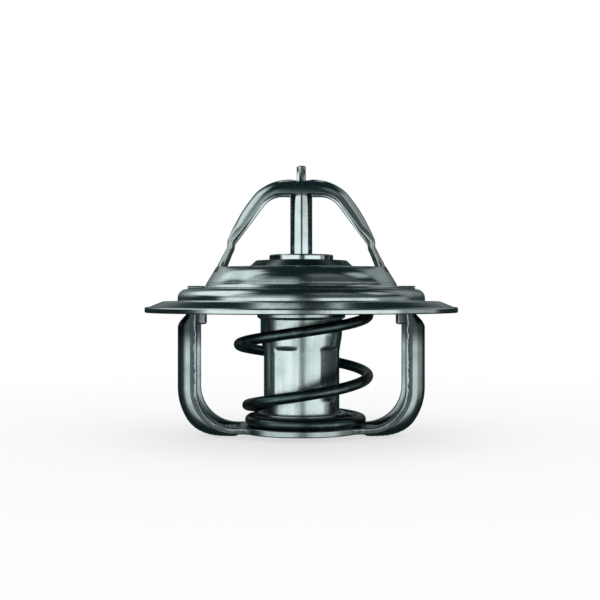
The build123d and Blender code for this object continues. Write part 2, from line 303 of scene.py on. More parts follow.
def fade(value, start, end):
    """A half-cosine step from 0 at start to 1 at end: half of one minus cos(pi share)."""
    return (1 - np.cos(np.pi * share(value, start, end))) / 2


def flare(value, centre, spread):
    """A bell that is 1 at its centre: e to the minus of the square of the distance over the spread."""
    return np.exp(-((value - centre) / spread) ** 2)


def outline(corners, closed, arc_steps=8, support=0.1):
    """Corners (x, y, radius) joined by straight runs, each corner an arc of its radius.

    An arc's points are centre + radius (cos a, sin a), and each straight run gets a support point
    near either end so that its shading stays flat."""
    corners = np.array(corners, float)
    count = len(corners)
    nearly_straight = math.pi / 2 - 0.01
    pieces = []
    for i in range(count):
        point, radius = corners[i, :2], corners[i, 2]
        is_end = not closed and i in (0, count - 1)
        before = corners[i - 1, :2] - point
        after = corners[(i + 1) % count, :2] - point
        reach = (np.linalg.norm(before), np.linalg.norm(after))
        before, after = before / reach[0], after / reach[1]
        half = math.acos(np.clip(before @ after, -1, 1)) / 2
        if is_end or radius <= 0 or half > nearly_straight:
            pieces.append(point[None])
            continue
        cut = radius / math.tan(half)
        middle = (before + after) / np.linalg.norm(before + after)
        centre = point + middle * radius / math.sin(half)
        first, last = point + before * cut - centre, point + after * cut - centre
        start = math.atan2(first[1], first[0])
        turn = (math.atan2(last[1], last[0]) - start + math.pi) % (2 * math.pi) - math.pi
        angles = start + turn * np.linspace(0, 1, arc_steps + 1)
        arc = centre + radius * np.stack([np.cos(angles), np.sin(angles)], 1)
        lead = point + before * min(cut + support, (cut + reach[0]) / 2)
        tail = point + after * min(cut + support, (cut + reach[1]) / 2)
        pieces.append(np.vstack([lead[None], arc, tail[None]]))
    return np.vstack(pieces)


def grid_quads(rows, columns, loop_rows, loop_columns):
    """The quads of a grid of points. Quad (i, j) joins points (i, j), (i+1, j), (i+1, j+1) and
    (i, j+1), counted round where the grid is a loop."""
    i, j = np.meshgrid(np.arange(rows if loop_rows else rows - 1),
                       np.arange(columns if loop_columns else columns - 1), indexing="ij")
    below, beside = (i + 1) % rows, (j + 1) % columns
    return np.stack([i * columns + j, below * columns + j, below * columns + beside,
                     i * columns + beside], -1).reshape(-1, 4)


def shell(grid, loop_rows):
    """Vertices and faces of a grid of points whose rows are closed loops.

    Where the rows don't join round to the first one, one flat face closes either end."""
    rows, columns = grid.shape[:2]
    faces = grid_quads(rows, columns, loop_rows, True).tolist()
    if not loop_rows:
        faces.append(list(range(columns - 1, -1, -1)))
        faces.append(list(range((rows - 1) * columns, rows * columns)))
    return grid.reshape(-1, 3), faces


def piece(name, body, parts, material, nodes, layers=None):
    """One object from several closed shells, facing outwards, riding on a body. Its quads are
    shaded smooth and its end faces flat.

    layers gives values for each vertex of each shell, kept as attributes for the material."""
    points, faces, offset = [], [], 0
    for vertices, polygons in parts:
        points.append(vertices)
        faces += [[index + offset for index in face] for face in polygons]
        offset += len(vertices)
    mesh = bpy.data.meshes.new(name)
    mesh.from_pydata((np.vstack(points) * MM).tolist(), [], faces)
    for label, values in (layers or {}).items():
        layer = mesh.attributes.new(label, "FLOAT", "POINT")
        layer.data.foreach_set("value", np.concatenate(values).astype(np.float32))
    work = bmesh.new()
    work.from_mesh(mesh)
    bmesh.ops.remove_doubles(work, verts=work.verts, dist=MERGE_DISTANCE)
    bmesh.ops.recalc_face_normals(work, faces=work.faces)
    for face in work.faces:
        face.smooth = len(face.verts) <= 4
    work.to_mesh(mesh)
    work.free()
    mesh.materials.append(material)
    item = bpy.data.objects.new(name, mesh)
    bpy.context.scene.collection.objects.link(item)
    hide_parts(*nodes)
    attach(item, body)
    return item


def turned(profile, around=192, closed=True, radius_of=None):
    """A profile (radius, height) carried round the axis: point (r cos a, r sin a, z).

    radius_of, where given, returns the radius at each angle and profile point."""
    angles = np.linspace(0, 2 * np.pi, around, endpoint=False)
    radius = np.repeat(profile[:, 0][:, None], around, 1)
    if radius_of:
        radius = radius_of(radius, profile[:, 1][:, None], angles[None])
    height = np.repeat(profile[:, 1][:, None], around, 1)
    grid = np.stack([radius * np.cos(angles), radius * np.sin(angles), height], -1)
    return shell(grid, loop_rows=closed)


def route(corners, spacing=0.16):
    """Evenly spaced places along a rounded line in the XZ plane, and the direction of travel there.

    A place is read off the line at its share of the line's length, and the direction is the
    difference of its neighbours made one long."""
    line = outline(corners, closed=False, arc_steps=16)
    steps = np.linalg.norm(np.diff(line, axis=0), axis=1)
    line = line[np.concatenate([[True], steps > 1e-6])]
    length = np.concatenate([[0], np.cumsum(np.linalg.norm(np.diff(line, axis=0), axis=1))])
    travel = np.linspace(0, length[-1], int(length[-1] / spacing) + 1)
    place = np.stack([np.interp(travel, length, line[:, k]) for k in (0, 1)], 1)
    change = np.gradient(place, axis=0)
    return place, change / np.linalg.norm(change, axis=1)[:, None]


def carried(place, direction, u, out):
    """The grid of a section carried along a route: point place + normal out + Y u, where the normal
    is the direction turned a quarter turn outwards."""
    normal = np.stack([direction[:, 1], -direction[:, 0]], 1)
    x = place[:, 0][:, None] + normal[:, 0][:, None] * out
    z = place[:, 1][:, None] + normal[:, 1][:, None] * out
    return np.stack([x, u, z], -1)


def strap(place, direction, half, lift, sheet, corner, rib_half):
    """A ribbed strap: a sheet's section carried along a route.

    The section is a rounded rectangle (u, t), half wide to either side and as thick as the sheet,
    lifted by lift(u). Over the rib, u is the rib's half width times the sine of even steps, so that
    the rib's steep feet get enough points. Two more values come for each point: 1 on the cut edge
    and 0 elsewhere, and the share of the sheet's thickness that the point lies at."""
    rows = len(place)
    inner = half - corner
    rib_gap = 0.04
    beyond_rib = np.linspace(inner, rib_half + rib_gap, 4, axis=1)
    over_rib = rib_half * np.sin(np.linspace(-np.pi / 2, np.pi / 2, 41))
    face_u = np.concatenate([-beyond_rib, np.tile(over_rib, (rows, 1)), beyond_rib[:, ::-1]], 1)
    face_t = np.repeat(sheet[:, None], face_u.shape[1], 1)
    angles = np.linspace(0, np.pi / 2, 5)
    sine, cosine = np.tile(np.sin(angles), (rows, 1)), np.tile(np.cos(angles), (rows, 1))
    edge_u = inner[:, None] + corner * np.concatenate([sine, cosine], 1)
    edge_t = np.concatenate([sheet[:, None] - corner * (1 - cosine), corner * (1 - sine)], 1)
    u = np.concatenate([face_u, edge_u, face_u[:, ::-1], -edge_u[:, ::-1]], 1)
    t = np.concatenate([face_t, edge_t, 0 * face_t, edge_t[:, ::-1]], 1)
    cut_edge = (np.abs(u) > (inner + 0.3 * corner)[:, None]).astype(float)
    cut_depth = t / sheet[:, None]
    part = shell(carried(place, direction, u, lift(u) + t), loop_rows=False)
    return part, cut_edge.reshape(-1), cut_depth.reshape(-1)


def mirrored(part):
    """The same shell on the other leg: x turned to -x, with each face's order turned round."""
    points, faces = part
    return points * np.array([-1, 1, 1]), [face[::-1] for face in faces]


def pillow(low, high, corner, steps=10):
    """A rectangular block with rounded edges.

    Each side of a cube is a grid of p from -1 to 1. A coordinate p becomes sign(p) times the root of
    |p| times the half width, which crowds the grid towards the edges. The point is held inside a
    core block, and pushed out from it by the corner radius."""
    low, high = np.array(low, float), np.array(high, float)
    line = np.linspace(-1, 1, steps + 1)
    first, second = [axis.ravel() for axis in np.meshgrid(line, line, indexing="ij")]
    side = np.stack([first, second, np.ones_like(first)], 1)
    cube = np.concatenate([np.roll(sign * side, axis, 1) for sign in (-1, 1) for axis in range(3)])
    one_side = grid_quads(steps + 1, steps + 1, False, False)
    faces = (one_side[None] + len(side) * np.arange(6)[:, None, None]).reshape(-1, 4)
    half = (high - low) / 2
    core = half - corner
    spread = np.sign(cube) * np.abs(cube) ** 0.5 * half
    inside = np.clip(spread, -core, core)
    away = spread - inside
    length = np.linalg.norm(away, axis=1)[:, None]
    rounded = inside + away / np.maximum(length, 1e-9) * corner
    return rounded + (low + high) / 2, faces.tolist()


class Value:
    """A shader socket that Python's operators turn into Math nodes."""

    def __init__(self, finish, socket):
        self.finish = finish
        self.socket = socket

    def math(self, operation, *values):
        return self.finish.node("ShaderNodeMath", {"operation": operation}, values)

    def __add__(self, other):
        return self.math("ADD", self, other)

    __radd__ = __add__

    def __rsub__(self, other):
        return self.math("SUBTRACT", other, self)

    def __mul__(self, other):
        return self.math("MULTIPLY", self, other)

    def between(self, low, high):
        """0 below low, 1 above high, smooth in between."""
        settings = {"interpolation_type": "SMOOTHSTEP", "clamp": True}
        return self.finish.node("ShaderNodeMapRange", settings,
                                {"Value": self, "From Min": low, "From Max": high}, "Result")


class Finish:
    """A material with one Principled shader and methods that add its other nodes."""

    def __init__(self, name, metallic):
        self.material = bpy.data.materials.new(name)
        self.material.use_nodes = True
        self.tree = self.material.node_tree
        self.shader = self.tree.nodes["Principled BSDF"]
        self.shader.inputs["Metallic"].default_value = metallic
        self.place = self.node("ShaderNodeTexCoord", {}, {}, "Object")

    def node(self, kind, settings, values, output=0):
        made = self.tree.nodes.new(kind)
        for key, value in settings.items():
            setattr(made, key, value)
        pairs = values.items() if isinstance(values, dict) else enumerate(values)
        for key, value in pairs:
            if isinstance(value, Value):
                self.tree.links.new(value.socket, made.inputs[key])
            else:
                made.inputs[key].default_value = value
        return Value(self, made.outputs[output])

    def stretched(self, scale):
        """Object coordinates scaled by three numbers, so that a pattern is drawn out."""
        return self.node("ShaderNodeMapping", {}, {"Vector": self.place, "Scale": scale})

    def noise(self, scale, detail, vector=None):
        """A cloudy pattern with so many waves to a metre, and so many finer layers over it."""
        values = {"Vector": vector or self.place, "Scale": scale, "Detail": detail, "Roughness": 0.55}
        return self.node("ShaderNodeTexNoise", {}, values, "Fac")

    def attribute(self, name):
        return self.node("ShaderNodeAttribute", {"attribute_name": name}, {}, "Fac")

    def mix(self, share, first, second):
        """A colour between two colours."""
        values = {"Factor": share, COLOR_A: first, COLOR_B: second}
        return self.node("ShaderNodeMix", {"data_type": "RGBA"}, values, COLOR_RESULT)

    def bump(self, height, distance, strength):
        """Relief from a height, which stands for so many millimetres at 1."""
        values = {"Height": height, "Distance": distance * MM, "Strength": strength}
        return self.node("ShaderNodeBump", {}, values)

    def set(self, name, value):
        self.tree.links.new(value.socket, self.shader.inputs[name])


def flange_steel(name):
    """Pressed and plated sheet: mirror-like with cloudy stains and a fine grain, and satin beside
    the legs, where the press has stretched it."""
    clean, stain_and_shade = (0.60, 0.65, 0.65, 1), (0.36, 0.42, 0.42, 1)
    finish = Finish(name, metallic=1.0)
    clouds = finish.noise(170.0, 4.0)
    streaks = finish.noise(420.0, 3.0, finish.stretched((1.0, 1.0, 5.0)))
    grain = finish.noise(5200.0, 2.0)
    satin = finish.attribute("satin")
    stain = clouds.between(0.42, 0.7) * 0.6 + streaks * 0.4
    finish.set("Base Color", finish.mix(stain, clean, stain_and_shade))
    finish.set("Roughness", 0.11 + stain * 0.1 + grain * 0.04 + satin * 0.18)
    height = grain * 0.2 + clouds + streaks * 0.3 + satin * grain * 0.8
    finish.set("Normal", finish.bump(height, 0.012, 0.5))
    return finish.material


def bracket_steel(name):
    """Pressed sheet of the lower frame, with painted shade on the legs under the flange. Along its
    sheared edges a burnished band meets a torn one at a wandering line that catches the light."""
    # dark is the colour of the painted shade under the flange
    clean, dull, dark = (0.42, 0.47, 0.47, 1), (0.27, 0.32, 0.32, 1), (0.035, 0.045, 0.05, 1)
    torn_dark, ridge_light = (0.10, 0.12, 0.13, 1), (0.72, 0.75, 0.76, 1)
    finish = Finish(name, metallic=1.0)
    clouds = finish.noise(190.0, 4.0)
    grain = finish.noise(5200.0, 2.0)
    cut = finish.attribute("cut_edge")
    wander = finish.noise(750.0, 4.0) * 0.9 + finish.attribute("cut_depth")
    torn = cut * wander.between(0.72, 0.82)
    ridge = cut * wander.between(0.6, 0.7) * (1 - wander.between(0.74, 0.84))
    pits = finish.noise(2600.0, 5.0)
    color = finish.mix(clouds.between(0.4, 0.7), clean, dull)
    # Painted shade: the legs darken up towards the flange, standing in for its shadow
    color = finish.mix(finish.attribute("stain_and_shade") * 0.93, color, dark)
    color = finish.mix(torn * (0.55 + pits * 0.6), color, torn_dark)
    color = finish.mix(ridge * 0.8, color, ridge_light)
    finish.set("Base Color", color)
    finish.set("Roughness", 0.2 + clouds * 0.1 + grain * 0.05 + torn * 0.2 + ridge * 0.1)
    height = grain * 0.2 + clouds + torn * pits * 3.0 + ridge * 1.5
    finish.set("Normal", finish.bump(height, 0.02, 0.6))
    return finish.material


def plate_steel(name):
    """The valve plate's darker, oiled steel, with faint rings round the axis."""
    light, dark = (0.30, 0.33, 0.33, 1), (0.19, 0.21, 0.21, 1)
    finish = Finish(name, metallic=1.0)
    clouds = finish.noise(260.0, 4.0)
    rings = finish.noise(1500.0, 2.0, finish.stretched((0.03, 0.03, 1.0)))
    finish.set("Base Color", finish.mix(clouds, light, dark))
    finish.set("Roughness", 0.16 + clouds * 0.12 + rings * 0.04)
    finish.set("Normal", finish.bump(clouds + rings * 0.3, 0.01, 0.5))
    return finish.material


def polished_steel(name, light, dark, rough):
    """Ground and polished steel: fine rings round the axis and a faint haze."""
    finish = Finish(name, metallic=1.0)
    rings = finish.noise(2400.0, 2.0, finish.stretched((0.02, 0.02, 1.0)))
    haze = finish.noise(420.0, 3.0)
    finish.set("Base Color", finish.mix(haze.between(0.4, 0.75), light, dark))
    finish.set("Roughness", rough + haze * 0.06 + rings * 0.01)
    finish.set("Normal", finish.bump(rings, 0.001, 0.05))
    return finish.material


def black_wire(name):
    """Oil-blackened spring wire: near black with a soft sheen, fine pits and worn spots."""
    black, bare = (0.085, 0.12, 0.12, 1), (0.2, 0.25, 0.25, 1)
    finish = Finish(name, metallic=1.0)
    worn = finish.noise(700.0, 4.0)
    pits = finish.noise(3800.0, 3.0)
    finish.set("Base Color", finish.mix(worn.between(0.5, 0.78), black, bare))
    finish.set("Roughness", 0.24 + worn * 0.16)
    finish.set("Normal", finish.bump(pits, 0.012, 0.6))
    return finish.material


def capsule_metal(name):
    """Drawn cup: long faint draw lines down the wall, soft stains and a satin grain."""
    bright, dull = (0.66, 0.71, 0.71, 1), (0.36, 0.43, 0.44, 1)
    finish = Finish(name, metallic=1.0)
    lines = finish.noise(1500.0, 3.0, finish.stretched((1.0, 1.0, 0.04)))
    stain = finish.noise(240.0, 4.0)
    grain = finish.noise(6000.0, 2.0)
    worn = stain.between(0.4, 0.75) * 0.5 + lines.between(0.35, 0.7) * 0.3 + grain.between(0.4, 0.8) * 0.2
    finish.set("Base Color", finish.mix(worn, bright, dull))
    finish.set("Roughness", 0.15 + stain * 0.1 + lines * 0.12)
    finish.set("Normal", finish.bump(lines * 0.7 + grain * 0.4, 0.02, 0.6))
    return finish.material


def rubber(name):
    """Moulded black rubber with a fine bloom."""
    black, bloomed = (0.012, 0.012, 0.012, 1), (0.035, 0.036, 0.036, 1)
    finish = Finish(name, metallic=0.0)
    bloom = finish.noise(900.0, 4.0)
    finish.set("Base Color", finish.mix(bloom, black, bloomed))
    finish.set("Roughness", 0.55 + bloom * 0.2)
    finish.set("Normal", finish.bump(bloom, 0.01, 0.5))
    return finish.material


def turned_brass(name):
    """Turned brass with tool rings and a dull film."""
    bright, dull = (0.62, 0.50, 0.26, 1), (0.42, 0.34, 0.19, 1)
    finish = Finish(name, metallic=1.0)
    rings = finish.noise(1800.0, 2.0, finish.stretched((0.02, 0.02, 1.0)))
    film = finish.noise(300.0, 4.0)
    finish.set("Base Color", finish.mix(film, bright, dull))
    finish.set("Roughness", 0.28 + film * 0.15)
    finish.set("Normal", finish.bump(rings, 0.006, 0.5))
    return finish.material


def wax(name):
    """Wax with metal powder in it."""
    brown, powdered = (0.42, 0.30, 0.20, 1), (0.62, 0.45, 0.28, 1)
    finish = Finish(name, metallic=0.0)
    powder = finish.noise(2600.0, 3.0)
    finish.set("Base Color", finish.mix(powder.between(0.45, 0.7), brown, powdered))
    finish.set("Roughness", 0.5 + powder * 0.2)
    finish.set("Normal", finish.bump(powder, 0.01, 0.4))
    return finish.material


def cone_radius(z):
    """The legs' cone: its outer radius at a height."""
    return CONE_RADIUS - CONE_SLOPE * (z - CONE_Z)


def flange_shell():
    """The turned sheet of the flange. Its closed outline runs over the top and back underneath.

    Near a leg the rolled dome becomes the legs' straight cone, and away from it the quarter roll
    stays: r = (1 - w) roll + w cone, where w falls with the angle off the leg and rises with the
    height over the shelf. The satin value is a fade of the same angle times two of the radius."""
    rim = FLANGE_RADIUS - RIM_LAND
    slope = rim - RIM_SLOPE
    lip_top = ROLL_Z + DOME_ROLL
    lip_under = lip_top - SHEET
    flat_under = FLANGE_TOP - SHEET
    shelf_under = SHELF_TOP - SHEET
    shoulder_inner = SHOULDER_RADIUS - SHEET
    dome_inner = DOME_RADIUS - SHEET
    roll = DOME_ROLL - ROLL_GAP
    over = [
        (FLANGE_RADIUS, 0, EDGE), (FLANGE_RADIUS, SHEET, RIM_EDGE), (rim, SHEET, RIM_BEND),
        (slope, FLANGE_TOP, SLOPE_BEND), (SHOULDER_RADIUS, FLANGE_TOP, SHOULDER_FOOT),
        (SHOULDER_RADIUS, SHELF_TOP, SHOULDER_CORNER), (DOME_RADIUS, SHELF_TOP, DOME_FOOT),
        (DOME_RADIUS, lip_top, roll), (SEAT_RADIUS, lip_top, LIP_EDGE)]
    underneath = [
        (SEAT_RADIUS, lip_under, LIP_EDGE), (dome_inner, lip_under, roll - SHEET),
        (dome_inner, shelf_under, DOME_FOOT_UNDER), (shoulder_inner, shelf_under, SHOULDER_CORNER_UNDER),
        (shoulder_inner, flat_under, SHOULDER_FOOT_UNDER),
        (slope - SLOPE_SHIFT_UNDER, flat_under, SLOPE_BEND_UNDER),
        (rim - SLOPE_SHIFT_UNDER, 0, SLOPE_BEND_UNDER)]
    profile = outline(over + underneath, closed=True, arc_steps=14)
    lip_turn = np.argmin(np.hypot(profile[:, 0] - SEAT_RADIUS, profile[:, 1] - lip_under))
    under = np.arange(len(profile)) >= lip_turn
    shelf_middle = (shoulder_inner + DOME_RADIUS) / 2
    inner_side = under & (profile[:, 0] < shelf_middle)
    outer_side = ~under & (profile[:, 0] < shelf_middle)

    def radius_of(radius, z, angle):
        off_leg = np.degrees(np.abs(np.arctan2(np.sin(angle), np.cos(angle))))
        off_leg = np.minimum(off_leg, 180 - off_leg)
        weight = fade(off_leg, *CONE_FADE_ANGLE) * fade(z, *CONE_FADE_Z)
        outer = (1 - weight) * radius + weight * cone_radius(z)
        inner = (1 - weight) * radius + weight * (cone_radius(z) - CONE_WALL)
        return np.where(outer_side[:, None], outer, np.where(inner_side[:, None], inner, radius))

    part = turned(profile, FLANGE_STEPS, radius_of=radius_of)
    angles = np.linspace(0, 360, FLANGE_STEPS, endpoint=False)
    off_leg = np.minimum(angles % 180, 180 - angles % 180)
    beside_leg = fade(off_leg, *SATIN_FADE_ANGLE)
    drawn = fade(profile[:, 0], *SATIN_FADE_INNER) * fade(profile[:, 0], *SATIN_FADE_OUTER)
    return part, (drawn[:, None] * beside_leg[None]).reshape(-1)


def bridge_shell():
    """The bridge's strap, from inside one leg's cone over the crown to the other leg.

    Its section is a channel. The outside is the superellipse u = w cos(a)^k, t = d sin(a)^k, with
    the strap's half width w and depth d. The inside is the same with the depth less by the sheet
    and the half width less by the channel's wall. The depth grows from the sheet alone at the legs,
    where the section is a flat strap, bowed to the cone by t less u squared over twice its radius.
    The dimple is a fade of the distance from the axis. The satin value falls from the legs to the
    crown."""
    under = BRIDGE_TOP - CROWN_RIB - SHEET
    foot = (cone_radius(BRIDGE_FOOT_Z) - CONE_WALL, BRIDGE_FOOT_Z, 0)
    right = [foot, KNEE_LOW, KNEE_HIGH, (CROWN_X, under, CROWN_BEND)]
    left = [(-x, z, radius) for x, z, radius in reversed(right)]
    place, direction = route(right + left)
    x, z = np.abs(place[:, 0]), place[:, 1]
    growth = share(z, *RIB_FADE_Z)
    rib = BRIDGE_RIB * (1 - (1 - growth) ** 2) + (CROWN_RIB - BRIDGE_RIB) * fade(x, *CROWN_FADE_X)
    square = BRIDGE_ROUND + (LEG_SQUARE - BRIDGE_ROUND) * fade(growth, *SQUARE_FADE_GROWTH)
    sunk = FOOT_SINK * fade(z, *FOOT_FADE_Z)
    half = BRIDGE_HALF + FLARE_WIDTH * flare(z, FLARE_Z, FLARE_SPREAD)
    turn = np.linspace(0, np.pi, 49)
    power = (2 / square)[:, None]
    across = np.sign(np.cos(turn)) * np.abs(np.cos(turn)) ** power
    up = np.clip(np.sin(turn), 0, 1) ** power
    outer_u, outer_t = half[:, None] * across, (SHEET + rib - sunk)[:, None] * up
    inner_u, inner_t = (half - CHANNEL_WALL)[:, None] * across, (rib + sunk)[:, None] * up
    u = np.concatenate([outer_u, inner_u[:, ::-1]], 1)
    t = np.concatenate([outer_t, inner_t[:, ::-1]], 1)
    cone_bow = fade(z, *BOW_FADE_Z)[:, None] / (2 * BOW_RADIUS)
    dimple = DIMPLE_DEPTH * fade(np.hypot(place[:, 0][:, None], u), *DIMPLE_FADE)
    grid = carried(place, direction, u, t - cone_bow * u ** 2 - dimple)
    satin = np.repeat(fade(z, *BRIDGE_SATIN_FADE_Z), grid.shape[1])
    return shell(grid, loop_rows=False), satin


def make_flange_bridge(material):
    """The upper pressing: the flange with its dome, and the bridge that grows out of it."""
    flange, flange_satin = flange_shell()
    bridge, bridge_satin = bridge_shell()
    piece("flange_and_bridge", "frame", [flange, bridge], material, ["flange_bridge"],
          {"satin": [flange_satin, bridge_satin]})


def leg_shell():
    """One leg of the lower frame: inside the ring, out along the strap, round the bend and up.

    The rib's rise over u is (1 - |u / its half width|^2.2)^0.6. Its depth is a fade of the angle
    that the strap has turned through, and runs out at the ring and under the flange."""
    shelf_under = SHELF_TOP - SHEET
    corners = [(LEG_START, FRAME_FLOOR, 0), (LEG_X, FRAME_FLOOR, FRAME_BEND), (LEG_X, shelf_under, 0)]
    place, direction = route(corners)
    x, z = place[:, 0], place[:, 1]
    bend = np.degrees(np.arctan2(direction[:, 1], direction[:, 0]))
    rib = BOTTOM_RIB + (LEG_RIB - BOTTOM_RIB) * fade(bend, *RIB_FADE_BEND)
    rib = rib * fade(x, *RIB_FADE_X) * fade(z, *RIB_FADE_TOP)
    half = STRAP_HALF + (LEG_HALF - STRAP_HALF) * fade(bend, *WIDTH_FADE_BEND)
    half = half + LEG_FLARE_WIDTH * flare(x, LEG_FLARE_X, LEG_FLARE_SPREAD)
    inset = LEG_INSET * fade(x, *INSET_FADE_X)

    def lift(u):
        rise = np.clip(1 - (np.abs(u) / LEG_RIB_HALF) ** 2.2, 0, 1) ** 0.6
        return rib[:, None] * rise + inset[:, None]

    return strap(place, direction, half, lift, FRAME_SHEET - 2 * inset, EDGE, LEG_RIB_HALF)


def make_lower_frame(material):
    """The lower bracket: a leg and its mirror, the turned ring with its collar, and for each leg a
    staked tab head on the shelf and a lug under it. The painted shade for the flange's shadow grows
    with the height up the leg."""
    leg, leg_cut, leg_depth = leg_shell()
    ring_under, collar_top = FRAME_FLOOR - FRAME_SHEET, FRAME_FLOOR + COLLAR_HEIGHT
    corners = [
        (RING_RADIUS, FRAME_FLOOR, EDGE), (COLLAR_OUTER, FRAME_FLOOR, COLLAR_BEND),
        (COLLAR_OUTER, collar_top, EDGE), (COLLAR_INNER, collar_top, EDGE),
        (COLLAR_INNER, ring_under, COLLAR_BEND_UNDER), (RING_RADIUS, ring_under, EDGE)]
    ring = turned(outline(corners, closed=True, arc_steps=10))
    head = pillow((HEAD_INNER, -HEAD_HALF, SHELF_TOP - HEAD_SINK),
                  (HEAD_OUTER, HEAD_HALF, SHELF_TOP + HEAD_HEIGHT), EDGE)
    lug = pillow((LUG_INNER, -LUG_HALF, LUG_FOOT),
                 (LUG_OUTER, LUG_HALF, SHELF_TOP - SHEET - LUG_GAP), LUG_EDGE)
    parts = [leg, mirrored(leg), ring, head, mirrored(head), lug, mirrored(lug)]
    plain = [np.zeros(len(part[0])) for part in parts[2:]]
    # The painted shade for the flange's shadow, growing with the height up the leg
    stain_and_shade = fade(leg[0][:, 2], *SHADE_FADE_Z)
    layers = {"cut_edge": [leg_cut, leg_cut] + plain, "cut_depth": [leg_depth, leg_depth] + plain,
              "stain_and_shade": [stain_and_shade, stain_and_shade] + plain}
    piece("lower_bracket", "frame", parts, material, ["lower_frame"], layers)


def climb_share(angle):
    """The share of the spring's climb at a turn angle: the sum of a rate that grows evenly from
    start to full, holds to ease and falls evenly to stop, over its whole."""
    gain, hold, ease = CLIMB_FULL - CLIMB_START, CLIMB_EASE - CLIMB_FULL, CLIMB_STOP - CLIMB_EASE
    gaining = np.clip(angle - CLIMB_START, 0, gain) ** 2 / (2 * gain)
    holding = np.clip(angle - CLIMB_FULL, 0, hold)
    late = np.clip(angle - CLIMB_EASE, 0, ease)
    return (gaining + holding + late - late ** 2 / (2 * ease)) / (gain / 2 + hold + ease / 2)


def make_spring(material):
    """The coil: closed end turns and an open coil that widens upwards, its foot off centre.

    At turn angle a the wire's centre is (R cos a + offset (1 - s s), R sin a, z), where s is the
    share of the climb, R widens from the foot to the head radius and z climbs from seat to seat.
    The wire's skin is centre + wire radius (cos b out + sin b up), with out and up square to the
    wire, and the radius drops a little at the very ends."""
    angle = np.linspace(SPRING_FIRST, SPRING_LAST, 1100)
    climb = climb_share(angle)
    low = spring_low[2] + WIRE
    high = spring_high[2] - WIRE
    widening = np.sin(np.pi / 2 * np.minimum(1, SPRING_WIDENING * climb))
    radius = SPRING_FOOT_RADIUS + (SPRING_HEAD_RADIUS - SPRING_FOOT_RADIUS) * widening
    turn = np.radians(angle)
    centre = np.stack([radius * np.cos(turn) + SPRING_OFFSET * (1 - climb ** 2),
                       radius * np.sin(turn), low + (high - low) * climb], 1)
    along = np.gradient(centre, axis=0)
    along /= np.linalg.norm(along, axis=1)[:, None]
    out = np.stack([np.cos(turn), np.sin(turn), np.zeros_like(turn)], 1)
    out -= along * np.sum(out * along, 1)[:, None]
    out /= np.linalg.norm(out, axis=1)[:, None]
    up = np.cross(along, out)
    around = np.linspace(0, 2 * np.pi, 28, endpoint=False)[None, :, None]
    from_end = np.minimum(np.arange(len(angle)), np.arange(len(angle))[::-1])
    wire = WIRE * (END_SHARE + (1 - END_SHARE) * np.sqrt(share(from_end, 0, END_ROWS)))
    skin = np.cos(around) * out[:, None] + np.sin(around) * up[:, None]
    grid = centre[:, None] + wire[:, None, None] * skin
    spring = piece("coil_spring", "frame", [shell(grid, loop_rows=False)], material,
                   ["return_spring"])
    travel = frame["joints"][0]["range_m"][1]
    seat = spring_low[2] * MM
    height = spring_high[2] * MM - seat
    1 - travel / height
    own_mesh(spring)


def make_piston(material):
    """The pin: a column up to the bridge's dimple and a thinner spigot through it, turned round the
    axis from the pin's foot to its tip."""
    low, high, column = piston_low[2], piston_high[2], piston_high[0]
    shoulder = BRIDGE_TOP - DIMPLE_DEPTH - SHEET
    corners = [(0, low, 0), (column, low, 0.5), (column, shoulder, 0.15), (SPIGOT_RADIUS, shoulder, 0),
               (SPIGOT_RADIUS, high, 0.22), (0, high, 0)]
    part = turned(outline(corners, closed=False), 96, closed=False)
    piece("piston_pin", "frame", [part], material, ["piston"])


def make_valve_disc(material):
    """The stepped valve plate: a turned sheet, flat at the bore, down a step and out to the edge."""
    top, foot, edge = disc_high[2], disc_low[2], disc_high[0]
    step, rim_top, top_under = top - PLATE_SLOPE, foot + PLATE_SHEET, top - PLATE_SHEET
    corners = [
        (VALVE_BORE, top, 0.1), (PLATE_TOP_RADIUS, top, 0.15), (PLATE_STEP_RADIUS, step, 0.2),
        (PLATE_FOOT_RADIUS, rim_top, 0.4), (edge, rim_top, EDGE), (edge, foot, EDGE),
        (PLATE_FOOT_UNDER, foot, 0.5), (PLATE_STEP_UNDER, step - PLATE_SHEET, 0.2),
        (PLATE_TOP_UNDER, top_under, 0.2), (VALVE_BORE, top_under, 0.1)]
    part = turned(outline(corners, closed=True))
    piece("valve_plate", "valve", [part], material, ["valve_disc"])


def make_hub(material):
    """The polished ring on the plate: a turned rectangle with rounded corners."""
    low, high, radius = hub_low[2], hub_high[2], hub_high[0]
    corners = [(VALVE_BORE, low, 0.05), (radius, low, 0.1), (radius, high, 0.22), (VALVE_BORE, high, 0.1)]
    part = turned(outline(corners, closed=True))
    piece("hub_collar", "valve", [part], material, ["hub_ring"])


def make_seal(material):
    """The seal's rubber ring: a turned rectangle with rounded corners."""
    low, high, radius = seal_low[2], seal_high[2], seal_high[0]
    corners = [(SEAL_INNER, high, SEAL_EDGE_INNER), (radius, high, SEAL_EDGE_OUTER),
               (radius, low, SEAL_EDGE_OUTER), (SEAL_INNER, low, SEAL_EDGE_INNER)]
    part = turned(outline(corners, closed=True))
    piece("valve_rubber", "valve", [part], material, ["valve_seal"])


def finer(line, spacing):
    """A line of points with each run cut into equal parts, as many as the spacing goes into it."""
    run = np.diff(line, axis=0)
    parts = np.maximum(1, (np.linalg.norm(run, axis=1) / spacing).astype(int))
    which = np.repeat(np.arange(len(parts)), parts)
    step = np.arange(parts.sum()) - np.repeat(np.cumsum(parts) - parts, parts) + 1
    added = line[which] + run[which] * step[:, None] / parts[which][:, None]
    return np.vstack([line[:1], added])


